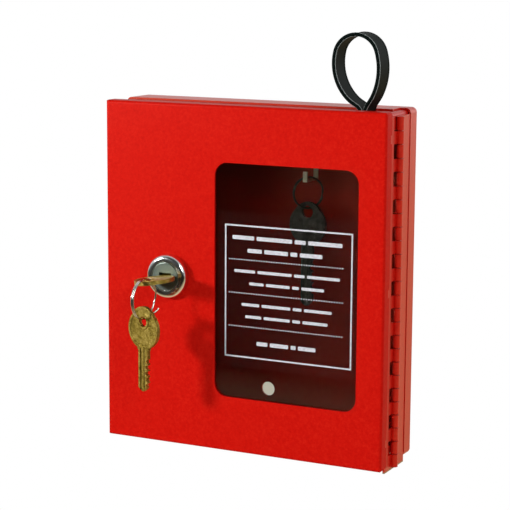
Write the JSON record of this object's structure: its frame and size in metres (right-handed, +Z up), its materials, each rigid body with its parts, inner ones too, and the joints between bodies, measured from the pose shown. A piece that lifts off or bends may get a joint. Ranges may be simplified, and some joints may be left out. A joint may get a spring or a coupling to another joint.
{
  "type": "wall key box",
  "caption": "Small red wall-mounted emergency key box with a hinged, glazed door, a cam lock with its keys, an inner key hook and a strap loop.",
  "frame": {"origin": "centre of the two wall screw holes, on the back face", "axes": "+X to the right seen from the front (hinge side), -Y out of the door's front, +Y into the wall, +Z up"},
  "size_m": [0.1491, 0.0718, 0.2042],
  "materials": {
    "red_powder_coat": "gloss",
    "steel_zinc": "satin",
    "steel_satin": "satin",
    "chrome_plate": "gloss",
    "nickel_steel": "gloss",
    "brass_key": "satin",
    "brass_wafer": "satin",
    "clear_pane": "gloss",
    "clear_film": "gloss",
    "black_rubber": "satin"
  },
  "bodies": {
    "case": {"back_pan": "red_powder_coat", "case_shell": "red_powder_coat", "hinge_case_leaf": "red_powder_coat", "hinge_pin": "red_powder_coat", "key_hook": "steel_zinc", "strike_plate": "red_powder_coat", "hanging_strap": "black_rubber", "strap_rivet": "steel_zinc", "strap_washers": "steel_zinc"},
    "door": {"door_panel": "red_powder_coat", "hinge_door_leaf": "red_powder_coat", "window_pane": "clear_pane", "printed_film": "clear_film", "channel_left": "steel_zinc", "channel_right": "steel_zinc", "channel_bottom": "steel_zinc", "pane_clip": "steel_zinc", "clip_stud": "steel_zinc", "clip_nut": "steel_zinc", "lock_body": "chrome_plate", "lock_washer": "steel_zinc", "lock_nut": "steel_zinc"},
    "lock_plug_set": {"lock_plug": "steel_satin", "wafer_1": "brass_wafer", "wafer_2": "brass_wafer", "wafer_3": "brass_wafer", "wafer_4": "brass_wafer", "wafer_5": "brass_wafer", "wafer_springs": "steel_zinc", "lock_cam": "steel_zinc", "cam_washer": "steel_zinc", "cam_screw": "steel_zinc"},
    "lock_key": {"lock_key": "brass_key"},
    "key_ring": {"key_ring": "nickel_steel"},
    "hanging_key": {"hanging_key": "brass_key"},
    "stored_ring": {"stored_ring": "nickel_steel"},
    "stored_key": {"stored_key": "nickel_steel"}
  },
  "joints": [
    {"name": "door_hinge", "type": "hinge", "parent": "case", "child": "door", "pos_m": [0.0759, -0.0215, 0], "axis": [0, 0, 1], "range_deg": [0, 150]},
    {"name": "lock_turn", "type": "hinge", "parent": "door", "child": "lock_plug_set", "pos_m": [-0.0357, -0.04255, 0], "axis": [0, -1, 0], "range_deg": [-7, 83]},
    {"name": "key_withdraw", "type": "slide", "parent": "lock_plug_set", "child": "lock_key", "axis": [0, -1, 0], "range_m": [0, 0.022]},
    {"name": "ring_turn", "type": "hinge", "parent": "lock_key", "child": "key_ring", "pos_m": [-0.0357, -0.0563, 0], "axis": [0, 0, 1], "range_deg": [-30, 15]},
    {"name": "hanging_key_swing", "type": "hinge", "parent": "key_ring", "child": "hanging_key", "pos_m": [-0.03618, -0.06178, -0.01694], "axis": [0.0872, 0.9962, 0], "range_deg": [-25, 25]},
    {"name": "stored_ring_swing", "type": "hinge", "parent": "case", "child": "stored_ring", "pos_m": [0.025, -0.01, 0.04109], "axis": [-0.7314, 0.682, 0], "range_deg": [-5, 20]},
    {"name": "stored_key_swing", "type": "hinge", "parent": "stored_ring", "child": "stored_key", "pos_m": [0.025, -0.01, 0.03359], "axis": [0.682, 0.7314, 0], "range_deg": [-6, 6]}
  ]
}
